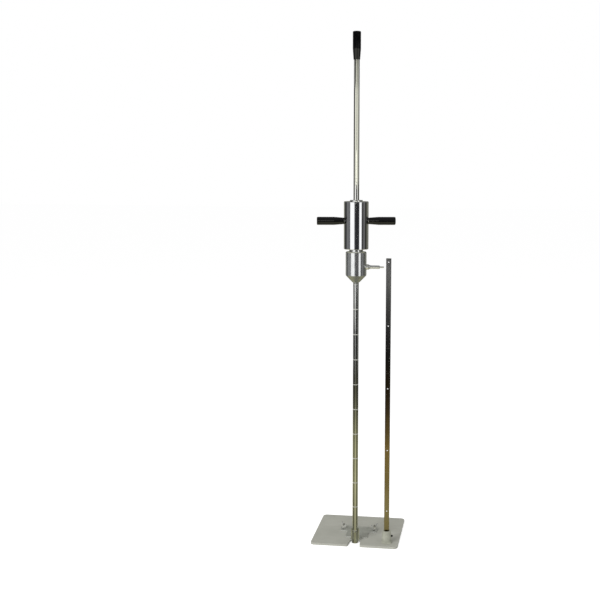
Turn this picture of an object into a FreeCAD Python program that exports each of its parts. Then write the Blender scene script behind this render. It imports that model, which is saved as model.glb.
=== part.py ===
import FreeCAD, Part
import math
import os
import re
import Sketcher

# Dynamic soil penetrometer, standing on its base plate. Millimetres, +Z up, +X to the right,
# -Y to the front. The origin is the middle of the base plate's underside.
# The drop hammer slides on the guide rod, the rod line sinks through the plate's notch, and a
# pointer on the anvil shows on the measuring bar how far it has gone down.

SIZES = {
    # Base plate, with the notch that lets the rod line in from the front
    "plate_width": 350.0,
    "plate_depth": 330.0,
    "plate_thick": 8.0,
    "plate_corner": 16.0,
    "plate_edge_break": 0.6,
    "notch_mouth": 50.0,
    "notch_throat": 38.0,
    "notch_depth": 63.0,
    "notch_inner_corner": 7.0,
    "notch_lip_corner": 5.0,
    # Rod line, measured from the front edge of the plate to the rod's axis
    "rod_setback": 48.0,
    # Cone holder, the flat foot of the rod line, with a hole for the spigot of a cone
    "holder_dia": 25.2,
    "holder_length": 52.0,
    "holder_neck": 6.0,
    "holder_foot_break": 1.2,
    "spigot_hole_dia": 10.0,
    "spigot_hole_depth": 16.0,
    # Sounding rod with a ring at every step, and the studs that join the rod line
    "rod_dia": 22.0,
    "rod_length": 1000.0,
    "rod_end_break": 0.8,
    "ring_step": 100.0,
    "ring_width": 3.0,
    "ring_cut": 0.5,
    "joint_stud_dia": 14.0,
    "joint_stud_depth": 23.0,
    "stud_end_break": 1.0,
    "thread_gap": 0.1,
    "seat_gap": 0.3,
    # Anvil
    "anvil_dia": 81.0,
    "anvil_root_dia": 28.0,
    "anvil_collar_height": 6.0,
    "anvil_cone_height": 27.5,
    "anvil_body_height": 91.5,
    "anvil_edge_break": 2.5,
    "strike_dia": 54.0,
    "strike_height": 10.0,
    "strike_edge_break": 2.0,
    # Pointer, screwed into a flat on the anvil's side
    "pointer_height": 66.0,
    "pointer_flat": 1.5,
    "pointer_thread_dia": 10.0,
    "pointer_thread_depth": 15.0,
    "pointer_collar_dia": 21.0,
    "pointer_collar_length": 11.5,
    "pointer_collar_break": 1.5,
    "pointer_root_dia": 18.0,
    "pointer_root_length": 6.0,
    "pointer_shaft_dia": 13.0,
    "pointer_shaft_length": 36.5,
    "pointer_nose_round": 2.5,
    "pointer_tip_dia": 6.0,
    "pointer_tip_length": 16.0,
    # Guide rod above the anvil
    "guide_dia": 22.0,
    "guide_length": 717.0,
    "guide_stub_dia": 16.0,
    "guide_stub_length": 42.0,
    # Hammer
    "hammer_dia": 95.5,
    "hammer_height": 184.0,
    "hammer_top_break": 2.0,
    "hammer_foot_break": 2.0,
    "hammer_bore_dia": 24.0,
    "bush_dia": 32.0,
    "bush_length": 30.0,
    "bush_flange_dia": 49.5,
    "bush_flange_height": 5.0,
    "bush_flange_break": 1.0,
    "slide_fit": 0.06,
    "drop_height": 500.0,
    "near_mark": 46.0,
    # Handles, the same grip on both sides of the hammer and on top of the guide rod
    "handle_down": 75.0,
    "handle_turn": 10.5,
    "handle_flat": 2.2,
    "handle_flat_gap": 1.5,
    "handle_stud_dia": 12.0,
    "handle_stud_depth": 24.0,
    "handle_collar_dia": 19.0,
    "handle_collar_length": 1.5,
    "grip_dia": 31.0,
    "grip_root_dia": 25.0,
    "grip_length": 105.0,
    "grip_taper": 40.0,
    "grip_root_round": 1.5,
    "grip_end_round": 4.0,
    "grip_stud_reach": 36.0,
    "insert_dia": 18.0,
    "insert_length": 40.0,
    "insert_ring_width": 3.0,
    "insert_ring_cut": 1.0,
    # Rod guide, a slotted plate with a half-round saddle behind the rod
    "guide_plate_thick": 4.0,
    "nose_width": 40.0,
    "nose_length": 31.0,
    "nose_corner": 4.0,
    "tongue_width": 88.0,
    "tongue_corner": 6.0,
    "tongue_inner_corner": 8.0,
    "wing_width": 150.0,
    "wing_front": 96.0,
    "wing_depth": 52.0,
    "wing_corner": 10.0,
    "saddle_gap": 0.4,
    "saddle_wall": 3.5,
    "saddle_height": 46.0,
    "saddle_edge_break": 1.0,
    # Studs, washers and wing nuts that hold the rod guide down
    "clamp_setback": 174.0,
    "clamp_spread": 128.0,
    "clamp_stud_dia": 8.0,
    "clamp_stud_height": 22.0,
    "clamp_travel": 16.0,
    "slot_gap": 0.4,
    "washer_dia": 17.0,
    "washer_thick": 1.6,
    "nut_fit": 0.08,
    "nut_foot_dia": 16.0,
    "nut_top_dia": 12.5,
    "nut_height": 10.0,
    "nut_wing_span": 39.0,
    "nut_wing_top": 20.0,
    "nut_wing_foot": 1.5,
    "nut_wing_elbow": 8.0,
    "nut_wing_width": 10.0,
    "nut_wing_thick": 3.2,
    "nut_wing_round": 3.0,
    "nut_left_turn": -57.0,
    "nut_right_turn": 50.0,
    # Measuring bar, its socket and the screws of the socket
    "bar_across": 127.5,
    "bar_width": 20.0,
    "bar_thick": 5.0,
    "bar_length": 1133.0,
    "bar_edge_break": 0.5,
    "bar_hole_dia": 5.0,
    "bar_hole_step": 250.0,
    "bar_hole_down": 15.0,
    "socket_foot_dia": 44.0,
    "socket_foot_height": 4.0,
    "socket_waist_dia": 39.5,
    "socket_top_dia": 34.0,
    "socket_height": 49.5,
    "socket_floor": 12.0,
    "socket_bore_dia": 21.5,
    "socket_edge_round": 1.2,
    "clamp_screw_height": 28.0,
    "clamp_screw_dia": 5.0,
    "clamp_screw_fit": 0.08,
    "clamp_head_dia": 8.5,
    "clamp_head_length": 5.5,
    "clamp_head_break": 0.8,
    "clamp_head_start": 19.0,
    "clamp_key_dia": 4.6,
    "clamp_key_depth": 3.0,
    "fixing_screw_dia": 6.0,
    "fixing_screw_length": 16.5,
    "fixing_head_dia": 12.0,
    "fixing_head_depth": 3.2,
    "fixing_sink": 0.2,
    "fixing_key_dia": 4.6,
    "fixing_key_depth": 2.0,
}

doc = FreeCAD.newDocument("penetrometer")
sheet = doc.addObject("Spreadsheet::Sheet", "Sizes")
for row, (size_name, size) in enumerate(SIZES.items(), start=1):
    sheet.set(f"A{row}", size_name)
    sheet.set(f"B{row}", str(size))
    sheet.setAlias(f"B{row}", size_name)
doc.recompute()

nodes = []


def cells(words):
    """The words of a size or place, with each size's name turned into its cell."""
    return re.sub(r"[a-z_]{3,}", lambda word: f"Sizes.{word[0]}" if word[0] in SIZES else word[0], words)


def body(label):
    piece = doc.addObject("PartDesign::Body", label)
    piece.Label = label
    nodes.append(piece)
    return piece


def origin_part(piece, role):
    return next(part for part in piece.Origin.OriginFeatures if part.Role == role)


def place(thing, across="0", back="0", up="0", turn="0", tilt="0"):
    """Tilts the thing's own Z axis towards +X, turns it about Z and then moves it."""
    spot = f"create(<<vector>>; {cells(across)}; {cells(back)}; {cells(up)})"
    swing = f"create(<<rotation>>; {cells(turn)}; {cells(tilt)}; 0)"
    thing.setExpression("Placement", f"create(<<placement>>; {spot}; {swing})")


def outline(piece, name, role, corners):
    """A closed outline of straight lines, with every corner held at its own two distances."""
    sketch = piece.newObject("Sketcher::SketchObject", name)
    sketch.AttachmentSupport = [(origin_part(piece, role), "")]
    sketch.MapMode = "FlatFace"
    count = len(corners)
    loose = [FreeCAD.Vector(math.cos(2 * math.pi * n / count), math.sin(2 * math.pi * n / count), 0)
             for n in range(count)]
    for n in range(count):
        sketch.addGeometry(Part.LineSegment(loose[n], loose[(n + 1) % count]), False)
    for n in range(count):
        sketch.addConstraint(Sketcher.Constraint("Coincident", n, 2, (n + 1) % count, 1))
    for n, (across, along) in enumerate(corners):
        for kind, words, start in (("DistanceX", across, loose[n].x), ("DistanceY", along, loose[n].y)):
            index = sketch.addConstraint(Sketcher.Constraint(kind, -1, 1, n, 1, start))
            sketch.setExpression(f"Constraints[{index}]", cells(words))
    return sketch


def turned(piece, name, profile, wrap="360"):
    """A solid of revolution about the piece's Z axis, from (radius, height) corners."""
    sketch = outline(piece, name + "_profile", "XZ_Plane", profile)
    solid = piece.newObject("PartDesign::Revolution", name)
    solid.Profile = sketch
    solid.ReferenceAxis = (sketch, ["V_Axis"])
    solid.setExpression("Angle", cells(wrap))
    doc.recompute()
    return solid


def padded(piece, name, role, corners, length, midplane=False):
    solid = piece.newObject("PartDesign::Pad", name)
    solid.Profile = outline(piece, name + "_outline", role, corners)
    solid.SideType = "Symmetric" if midplane else "One side"
    solid.setExpression("Length", cells(length))
    doc.recompute()
    return solid


def drilled(piece, name, dia, length, **spot):
    """A round hole: a cylinder along its own Z axis, taken out of the piece."""
    volume_before = piece.Shape.Volume
    hole = piece.newObject("PartDesign::SubtractiveCylinder", name)
    hole.setExpression("Radius", cells(f"({dia}) / 2"))
    hole.setExpression("Height", cells(length))
    place(hole, **spot)
    doc.recompute()
    if piece.Shape.Volume >= volume_before:
        raise RuntimeError(f"{name} cuts nothing from {piece.Label}")
    return hole


def keyed(piece, name, dia, depth, **spot):
    """A hexagon socket for a key, taken out of a screw's head."""
    socket = piece.newObject("PartDesign::SubtractivePrism", name)
    socket.Polygon = 6
    socket.setExpression("Circumradius", cells(f"{dia} / 2"))
    socket.setExpression("Height", cells(depth))
    place(socket, **spot)
    doc.recompute()


def edges(feature, wanted):
    return [f"Edge{n}" for n, edge in enumerate(feature.Shape.Edges, start=1) if wanted(edge)]


def rounded(piece, name, feature, wanted, radius):
    fillet = piece.newObject("PartDesign::Fillet", name)
    fillet.Base = (feature, edges(feature, wanted))
    fillet.setExpression("Radius", cells(radius))
    doc.recompute()
    return fillet


def bevelled(piece, name, feature, wanted, size):
    chamfer = piece.newObject("PartDesign::Chamfer", name)
    chamfer.Base = (feature, edges(feature, wanted))
    chamfer.setExpression("Size", cells(size))
    doc.recompute()
    return chamfer


def repeated(piece, name, feature, axis_role, span, count):
    """Copies of a feature in a straight row along one of the piece's own axes."""
    row_of = piece.newObject("PartDesign::LinearPattern", name)
    row_of.Originals = [feature]
    row_of.Direction = (origin_part(piece, axis_role), [""])
    row_of.setExpression("Length", cells(span))
    row_of.setExpression("Occurrences", cells(count))
    piece.Tip = row_of
    doc.recompute()
    return row_of


def ringed(piece, name, radius, width, cut, height):
    """A square ring groove round a rod, centred at a height."""
    groove = piece.newObject("PartDesign::Groove", name)
    inner = f"{radius} - {cut}"
    outer = f"{radius} + {cut}"
    low = f"{height} - {width} / 2"
    high = f"{height} + {width} / 2"
    groove.Profile = outline(piece, name + "_profile", "XZ_Plane",
                             [(inner, low), (outer, low), (outer, high), (inner, high)])
    groove.ReferenceAxis = (origin_part(piece, "Z_Axis"), [""])
    groove.Angle = 360
    doc.recompute()
    return groove


def upright(edge):
    box = edge.BoundBox
    return box.ZLength > 0.5 * SIZES["guide_plate_thick"] and box.XLength + box.YLength < 0.01


def at_height(edge, height):
    return edge.BoundBox.ZLength < 0.01 and abs(edge.BoundBox.ZMin - height) < 0.01


def ring_at(edge, radius, height):
    return at_height(edge, height) and abs(edge.BoundBox.XMax - radius) < 0.01


def corner_at(edge, across, back):
    box = edge.BoundBox
    return upright(edge) and abs(abs(box.Center.x) - across) < 0.01 and abs(box.Center.y - back) < 0.01


# Places that several pieces share
ROD_Y = "(rod_setback - plate_depth / 2)"
ROD_TOP = "(holder_length + rod_length)"
ANVIL_BODY = "(anvil_collar_height + anvil_cone_height)"
ANVIL_TOP = f"({ANVIL_BODY} + anvil_body_height)"
STRIKE_TOP = f"({ANVIL_TOP} + strike_height)"
HAMMER_FOOT = f"({ROD_TOP} + {STRIKE_TOP})"
HAMMER_TOP = f"({HAMMER_FOOT} + hammer_height)"
GRIP_FOOT = f"({HAMMER_FOOT} + guide_length)"
HANDLE_Z = f"({HAMMER_TOP} - handle_down)"
CLAMP_Y = "(clamp_setback - plate_depth / 2)"
GUIDE_TOP = "(plate_thick + guide_plate_thick)"
POINTER_SEAT = "(anvil_dia / 2 - pointer_flat)"
HANDLE_SEAT = "(hammer_dia / 2 - handle_flat)"

# Base plate, cut from sheet steel
plate = body("base_plate")
sheet_steel = padded(plate, "sheet_steel", "XY_Plane", [
    ("-plate_width / 2", "-plate_depth / 2"),
    ("-notch_mouth / 2", "-plate_depth / 2"),
    ("-notch_throat / 2", "notch_depth - plate_depth / 2"),
    ("notch_throat / 2", "notch_depth - plate_depth / 2"),
    ("notch_mouth / 2", "-plate_depth / 2"),
    ("plate_width / 2", "-plate_depth / 2"),
    ("plate_width / 2", "plate_depth / 2"),
    ("-plate_width / 2", "plate_depth / 2"),
], "plate_thick")
half_width = SIZES["plate_width"] / 2
half_depth = SIZES["plate_depth"] / 2
outer_corners = rounded(plate, "outer_corners", sheet_steel,
                        lambda edge: any(corner_at(edge, half_width, back) for back in (-half_depth, half_depth)),
                        "plate_corner")
throat_corners = rounded(plate, "throat_corners", outer_corners,
                         lambda edge: corner_at(edge, SIZES["notch_throat"] / 2, SIZES["notch_depth"] - half_depth),
                         "notch_inner_corner")
lip_corners = rounded(plate, "lip_corners", throat_corners,
                      lambda edge: corner_at(edge, SIZES["notch_mouth"] / 2, -half_depth), "notch_lip_corner")
bevelled(plate, "broken_edges", lip_corners, lambda edge: at_height(edge, SIZES["plate_thick"]), "plate_edge_break")
drilled(plate, "fixing_hole", "fixing_screw_dia + 4 * thread_gap", "plate_thick", across="bar_across", back=ROD_Y)
countersink = plate.newObject("PartDesign::SubtractiveCone", "countersink")
countersink.setExpression("Radius1", cells("fixing_head_dia / 2 + 2 * thread_gap"))
countersink.setExpression("Radius2", cells("fixing_screw_dia / 2 + 2 * thread_gap"))
countersink.setExpression("Height", cells("fixing_head_depth + fixing_sink"))
place(countersink, across="bar_across", back=ROD_Y)

# Socket for the measuring bar, a turned casting on the plate
socket = body("bar_socket")
casting = turned(socket, "casting", [
    ("0", "0"), ("socket_foot_dia / 2", "0"), ("socket_foot_dia / 2", "socket_foot_height / 2"),
    ("socket_waist_dia / 2", "socket_foot_height"), ("socket_top_dia / 2", "socket_height"),
    ("0", "socket_height")])
soft_rim = rounded(socket, "soft_rim", casting,
                   lambda edge: ring_at(edge, SIZES["socket_top_dia"] / 2, SIZES["socket_height"]), "socket_edge_round")
soft_foot = rounded(socket, "soft_foot", soft_rim,
                    lambda edge: ring_at(edge, SIZES["socket_waist_dia"] / 2, SIZES["socket_foot_height"]),
                    "socket_edge_round * 2")
drilled(socket, "bar_bore", "socket_bore_dia", "socket_height", up="socket_floor")
drilled(socket, "screw_bore", "clamp_screw_dia + 2 * clamp_screw_fit", "socket_foot_dia / 2",
        up="clamp_screw_height", tilt="90")
drilled(socket, "fixing_bore", "fixing_screw_dia + 2 * thread_gap",
        "fixing_screw_length + fixing_sink - plate_thick + seat_gap")
place(socket, across="bar_across", back=ROD_Y, up="plate_thick")

# Countersunk screw that holds the socket from under the plate
fixing = body("socket_fixing_screw")
turned(fixing, "screw", [
    ("0", "0"), ("fixing_head_dia / 2", "0"), ("fixing_screw_dia / 2", "fixing_head_depth"),
    ("fixing_screw_dia / 2", "fixing_screw_length"), ("0", "fixing_screw_length")])
keyed(fixing, "key_socket", "fixing_key_dia", "fixing_key_depth")
place(fixing, across="bar_across", back=ROD_Y, up="fixing_sink")

# Screw with a cap head that pinches the bar in the socket
clamp_screw = body("bar_clamp_screw")
clamp_tip = "(bar_width / 2 + seat_gap)"
clamp_end = "(clamp_head_start + clamp_head_length)"
cap_screw = turned(clamp_screw, "cap_screw", [
    ("0", clamp_tip), ("clamp_screw_dia / 2", clamp_tip), ("clamp_screw_dia / 2", "clamp_head_start"),
    ("clamp_head_dia / 2", "clamp_head_start"), ("clamp_head_dia / 2", clamp_end), ("0", clamp_end)])
clamp_head_end = SIZES["clamp_head_start"] + SIZES["clamp_head_length"]
bevelled(clamp_screw, "head_edge", cap_screw,
         lambda edge: ring_at(edge, SIZES["clamp_head_dia"] / 2, clamp_head_end), "clamp_head_break")
keyed(clamp_screw, "key_socket", "clamp_key_dia", "clamp_key_depth", up=f"{clamp_end} - clamp_key_depth")
place(clamp_screw, across="bar_across", back=ROD_Y, up="plate_thick + clamp_screw_height", tilt="90")

# Measuring bar, a flat steel bar with a hole at every step down from its top
bar = body("measuring_bar")
flat_bar = padded(bar, "flat_bar", "XY_Plane", [
    ("-bar_width / 2", "-bar_thick / 2"), ("bar_width / 2", "-bar_thick / 2"),
    ("bar_width / 2", "bar_thick / 2"), ("-bar_width / 2", "bar_thick / 2")], "bar_length")
bevelled(bar, "broken_edges", flat_bar, lambda edge: True, "bar_edge_break")
step_hole = drilled(bar, "step_hole", "bar_hole_dia", "bar_thick", back="-bar_thick / 2",
                    up="bar_length - bar_hole_down", turn="90", tilt="90")
repeated(bar, "step_holes", step_hole, "Z_Axis", "4 * bar_hole_step", "5").Reversed = True
place(bar, across="bar_across", back=ROD_Y, up="plate_thick + socket_floor")

# Two studs welded upright on the plate, behind the rod
studs = body("clamp_studs")
stud = turned(studs, "stud", [
    ("0", "0"), ("clamp_stud_dia / 2", "0"), ("clamp_stud_dia / 2", "clamp_stud_height - stud_end_break"),
    ("clamp_stud_dia / 2 - stud_end_break", "clamp_stud_height"), ("0", "clamp_stud_height")])
repeated(studs, "stud_pair", stud, "X_Axis", "clamp_spread", "2")
place(studs, across="-clamp_spread / 2", back=CLAMP_Y, up="plate_thick")

washers = body("clamp_washers")
washer = turned(washers, "washer", [
    ("clamp_stud_dia / 2 + nut_fit", "0"), ("washer_dia / 2", "0"), ("washer_dia / 2", "washer_thick"),
    ("clamp_stud_dia / 2 + nut_fit", "washer_thick")])
repeated(washers, "washer_pair", washer, "X_Axis", "clamp_spread", "2")
place(washers, across="-clamp_spread / 2", back=CLAMP_Y, up=GUIDE_TOP)

# Wing nuts, a round hub with two upswept wings
for side, sign in (("left", "-"), ("right", "")):
    nut = body(f"wing_nut_{side}")
    turned(nut, "hub", [
        ("0", "0"), ("nut_foot_dia / 2", "0"), ("nut_top_dia / 2", "nut_height"), ("0", "nut_height")])
    wing = padded(nut, "wing", "XZ_Plane", [
        ("nut_top_dia / 4", "nut_wing_foot"), ("nut_foot_dia / 2", "nut_wing_foot"),
        ("nut_wing_span / 2", "nut_wing_elbow"), ("nut_wing_span / 2", "nut_wing_top"),
        ("nut_wing_span / 2 - nut_wing_width / 2", "nut_wing_top"), ("nut_top_dia / 2", "nut_height - nut_wing_foot"),
        ("nut_top_dia / 4", "nut_height - nut_wing_foot")], "nut_wing_thick", midplane=True)
    wing_tip = SIZES["nut_wing_span"] / 2
    soft_wing = rounded(nut, "soft_wing", wing,
                        lambda edge: edge.BoundBox.YLength > 0.9 * SIZES["nut_wing_thick"]
                        and edge.BoundBox.XLength + edge.BoundBox.ZLength < 0.01
                        and edge.BoundBox.XMin > wing_tip - SIZES["nut_wing_width"], "nut_wing_round")
    other_wing = nut.newObject("PartDesign::PolarPattern", "both_wings")
    other_wing.Originals = [wing, soft_wing]
    other_wing.Axis = (origin_part(nut, "Z_Axis"), [""])
    other_wing.Angle = 360
    other_wing.Occurrences = 2
    nut.Tip = other_wing
    doc.recompute()
    drilled(nut, "thread", "clamp_stud_dia + 2 * nut_fit", "nut_wing_top")
    place(nut, across=f"{sign}clamp_spread / 2", back=CLAMP_Y, up=f"{GUIDE_TOP} + washer_thick",
          turn=f"nut_{side}_turn")

# Slotted plate of the rod guide, with a nose that reaches the rod. Its own origin is on the rod's axis.
guide_plate = body("guide_plate")
wing_back = "(wing_front + wing_depth)"
tee = padded(guide_plate, "tee", "XY_Plane", [
    ("-nose_width / 2", "0"), ("nose_width / 2", "0"), ("nose_width / 2", "nose_length"),
    ("tongue_width / 2", "nose_length"), ("tongue_width / 2", "wing_front"),
    ("wing_width / 2", "wing_front"), ("wing_width / 2", wing_back), ("-wing_width / 2", wing_back),
    ("-wing_width / 2", "wing_front"), ("-tongue_width / 2", "wing_front"),
    ("-tongue_width / 2", "nose_length"), ("-nose_width / 2", "nose_length")], "guide_plate_thick")
wing_ends = (SIZES["wing_front"], SIZES["wing_front"] + SIZES["wing_depth"])
soft_ends = rounded(guide_plate, "soft_ends", tee,
                    lambda edge: any(corner_at(edge, SIZES["wing_width"] / 2, back) for back in wing_ends),
                    "wing_corner")
soft_throat = rounded(guide_plate, "soft_throat", soft_ends,
                      lambda edge: corner_at(edge, SIZES["tongue_width"] / 2, SIZES["wing_front"]),
                      "tongue_inner_corner")
soft_tongue = rounded(guide_plate, "soft_tongue", soft_throat,
                      lambda edge: corner_at(edge, SIZES["tongue_width"] / 2, SIZES["nose_length"]), "tongue_corner")
rounded(guide_plate, "soft_prongs", soft_tongue, lambda edge: corner_at(edge, SIZES["nose_width"] / 2, 0),
        "nose_corner")
drilled(guide_plate, "rod_cut", "holder_dia + 2 * saddle_gap", "guide_plate_thick")
clamp_reach = f"({CLAMP_Y} - {ROD_Y})"
for side, sign in (("left", "-"), ("right", "")):
    slot_middle = f"{sign}clamp_spread / 2"
    for end, back in (("rear", clamp_reach), ("front", f"{clamp_reach} - clamp_travel")):
        drilled(guide_plate, f"{side}_slot_{end}", "clamp_stud_dia + 2 * slot_gap", "guide_plate_thick",
                across=slot_middle, back=back)
    run = guide_plate.newObject("PartDesign::SubtractiveBox", f"{side}_slot_run")
    run.setExpression("Length", cells("clamp_stud_dia + 2 * slot_gap"))
    run.setExpression("Width", cells("clamp_travel"))
    run.setExpression("Height", cells("guide_plate_thick"))
    place(run, across=f"{slot_middle} - clamp_stud_dia / 2 - slot_gap", back=f"{clamp_reach} - clamp_travel")
place(guide_plate, back=ROD_Y, up="plate_thick")

# Half-round saddle welded on the plate's front, behind the rod
saddle = body("rod_saddle")
saddle_inner = "(holder_dia / 2 + saddle_gap)"
saddle_outer = f"({saddle_inner} + saddle_wall)"
turned(saddle, "half_round", [
    (saddle_inner, "0"), (saddle_outer, "0"), (saddle_outer, "saddle_height - saddle_edge_break"),
    (f"{saddle_outer} - saddle_edge_break", "saddle_height"),
    (f"{saddle_inner} + saddle_edge_break", "saddle_height"),
    (saddle_inner, "saddle_height - saddle_edge_break")], wrap="180")
place(saddle, back=ROD_Y, up=GUIDE_TOP)

# Cone holder: a thick flat foot with a short neck down to the rod's size
holder = body("cone_holder")
turned(holder, "turned_foot", [
    ("0", "0"), ("holder_dia / 2 - holder_foot_break", "0"), ("holder_dia / 2", "holder_foot_break"),
    ("holder_dia / 2", "holder_length - holder_neck"), ("rod_dia / 2", "holder_length - rod_end_break"),
    ("rod_dia / 2 - rod_end_break", "holder_length"), ("0", "holder_length")])
drilled(holder, "thread", "joint_stud_dia + 2 * thread_gap", "joint_stud_depth + seat_gap",
        up="holder_length - joint_stud_depth - seat_gap")
drilled(holder, "spigot_hole", "spigot_hole_dia", "spigot_hole_depth")
place(holder, back=ROD_Y)

# Double-ended studs that join cone holder, sounding rod and anvil
for label, height in (("holder_stud", "holder_length"), ("rod_stud", ROD_TOP)):
    joint_stud = body(label)
    blunt = "(joint_stud_dia / 2 - stud_end_break)"
    turned(joint_stud, "threaded_stud", [
        ("0", "-joint_stud_depth"), (blunt, "-joint_stud_depth"),
        ("joint_stud_dia / 2", "stud_end_break - joint_stud_depth"),
        ("joint_stud_dia / 2", "joint_stud_depth - stud_end_break"),
        (blunt, "joint_stud_depth"), ("0", "joint_stud_depth")])
    place(joint_stud, back=ROD_Y, up=height)

# Sounding rod, threaded inside at both ends and ringed at every step
rod = body("sounding_rod")
turned(rod, "bar_stock", [
    ("0", "0"), ("rod_dia / 2 - rod_end_break", "0"), ("rod_dia / 2", "rod_end_break"),
    ("rod_dia / 2", "rod_length - rod_end_break"), ("rod_dia / 2 - rod_end_break", "rod_length"),
    ("0", "rod_length")])
for end, height in (("foot", "0"), ("head", "rod_length - joint_stud_depth - seat_gap")):
    drilled(rod, f"{end}_thread", "joint_stud_dia + 2 * thread_gap", "joint_stud_depth + seat_gap", up=height)
ring = ringed(rod, "ring", "rod_dia / 2", "ring_width", "ring_cut", "ring_step")
repeated(rod, "rings", ring, "Z_Axis", "(round(rod_length / ring_step) - 2) * ring_step",
         "round(rod_length / ring_step) - 1")
place(rod, back=ROD_Y, up="holder_length")

# Anvil, turned from solid, with the strike face on top
anvil = body("anvil")
anvil_blank = turned(anvil, "anvil_blank", [
    ("0", "0"), ("rod_dia / 2", "0"), ("rod_dia / 2", "anvil_collar_height"),
    ("anvil_root_dia / 2", "anvil_collar_height"), ("anvil_dia / 2", ANVIL_BODY),
    ("anvil_dia / 2", f"{ANVIL_TOP} - anvil_edge_break"),
    ("anvil_dia / 2 - anvil_edge_break", ANVIL_TOP), ("strike_dia / 2", ANVIL_TOP),
    ("strike_dia / 2", f"{STRIKE_TOP} - strike_edge_break"),
    ("strike_dia / 2 - strike_edge_break", STRIKE_TOP), ("0", STRIKE_TOP)])
drilled(anvil, "rod_thread", "joint_stud_dia + 2 * thread_gap", "joint_stud_depth + seat_gap")
drilled(anvil, "guide_thread", "guide_stub_dia + 2 * thread_gap", "guide_stub_length + seat_gap",
        up=f"{STRIKE_TOP} - guide_stub_length - seat_gap")
drilled(anvil, "pointer_flat", "pointer_collar_dia + 2 * pointer_collar_break", "anvil_dia",
        across=POINTER_SEAT, up="pointer_height", tilt="90")
drilled(anvil, "pointer_thread", "pointer_thread_dia + 2 * thread_gap", "anvil_dia",
        across=f"{POINTER_SEAT} - pointer_thread_depth - seat_gap", up="pointer_height", tilt="90")
place(anvil, back=ROD_Y, up=ROD_TOP)

# Pointer and its round lock collar, both aimed at the measuring bar
pointer_place = {"across": POINTER_SEAT, "back": ROD_Y, "up": f"{ROD_TOP} + pointer_height", "tilt": "90"}
collar = body("pointer_collar")
collar_bore = "(pointer_thread_dia / 2 + thread_gap)"
turned(collar, "lock_collar", [
    (collar_bore, "0"), ("pointer_collar_dia / 2", "0"),
    ("pointer_collar_dia / 2", "pointer_collar_length - pointer_collar_break"),
    ("pointer_collar_dia / 2 - pointer_collar_break", "pointer_collar_length"),
    (collar_bore, "pointer_collar_length")])
place(collar, **pointer_place)
pointer = body("pointer")
pointer_shaft = "(pointer_collar_length + pointer_root_length)"
pointer_nose = f"({pointer_shaft} + pointer_shaft_length)"
needle = turned(pointer, "needle", [
    ("0", "-pointer_thread_depth"), ("pointer_thread_dia / 2", "-pointer_thread_depth"),
    ("pointer_thread_dia / 2", "pointer_collar_length"), ("pointer_root_dia / 2", "pointer_collar_length"),
    ("pointer_shaft_dia / 2", pointer_shaft), ("pointer_shaft_dia / 2", pointer_nose),
    ("pointer_tip_dia / 2", pointer_nose), ("pointer_tip_dia / 2", f"{pointer_nose} + pointer_tip_length"),
    ("0", f"{pointer_nose} + pointer_tip_length")])
nose_at = (SIZES["pointer_collar_length"] + SIZES["pointer_root_length"] + SIZES["pointer_shaft_length"])
soft_nose = rounded(pointer, "soft_nose", needle,
                    lambda edge: ring_at(edge, SIZES["pointer_shaft_dia"] / 2, nose_at), "pointer_nose_round")
rounded(pointer, "soft_tip", soft_nose,
        lambda edge: ring_at(edge, SIZES["pointer_tip_dia"] / 2, nose_at + SIZES["pointer_tip_length"]),
        "pointer_tip_dia / 6")
place(pointer, **pointer_place)

# Guide rod, screwed into the anvil, with two rings that mark the drop height
guide = body("guide_rod")
turned(guide, "guide_bar", [
    ("0", "-guide_stub_length"), ("guide_stub_dia / 2 - stud_end_break", "-guide_stub_length"),
    ("guide_stub_dia / 2", "stud_end_break - guide_stub_length"), ("guide_stub_dia / 2", "0"),
    ("guide_dia / 2", "0"), ("guide_dia / 2", "guide_length"), ("handle_stud_dia / 2", "guide_length"),
    ("handle_stud_dia / 2", "guide_length + grip_stud_reach"), ("0", "guide_length + grip_stud_reach")])
drop_mark = "(hammer_height + bush_flange_height + drop_height)"
ringed(guide, "drop_ring", "guide_dia / 2", "ring_width", "ring_cut", drop_mark)
ringed(guide, "near_ring", "guide_dia / 2", "ring_width", "ring_cut", f"({drop_mark} - near_mark)")
place(guide, back=ROD_Y, up=HAMMER_FOOT)

# Drop hammer: the weight, and the flanged and the plain bush that run on the guide rod
hammer = body("hammer_weight")
weight = turned(hammer, "weight", [
    ("hammer_bore_dia / 2", "0"), ("hammer_dia / 2 - hammer_foot_break", "0"),
    ("hammer_dia / 2", "hammer_foot_break"), ("hammer_dia / 2", "hammer_height - hammer_top_break"),
    ("hammer_dia / 2 - hammer_top_break", "hammer_height"), ("hammer_bore_dia / 2", "hammer_height")])
drilled(hammer, "lower_seat", "bush_dia + 2 * thread_gap", "bush_length")
drilled(hammer, "upper_seat", "bush_dia + 2 * thread_gap", "bush_length", up="hammer_height - bush_length")
handle_bore = f"({HANDLE_SEAT} - handle_stud_depth - seat_gap)"
handle_turns = (("left", "(handle_turn + 180)"), ("right", "handle_turn"))
for side, turn in handle_turns:
    for name, dia, reach in (("flat", "grip_root_dia + 2 * handle_flat_gap", HANDLE_SEAT),
                             ("thread", "handle_stud_dia + 2 * thread_gap", handle_bore)):
        drilled(hammer, f"{side}_{name}", dia, "hammer_dia", across=f"{reach} * cos({turn})",
                back=f"{reach} * sin({turn})", up="hammer_height - handle_down", turn=turn, tilt="90")
place(hammer, back=ROD_Y, up=HAMMER_FOOT)

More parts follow.
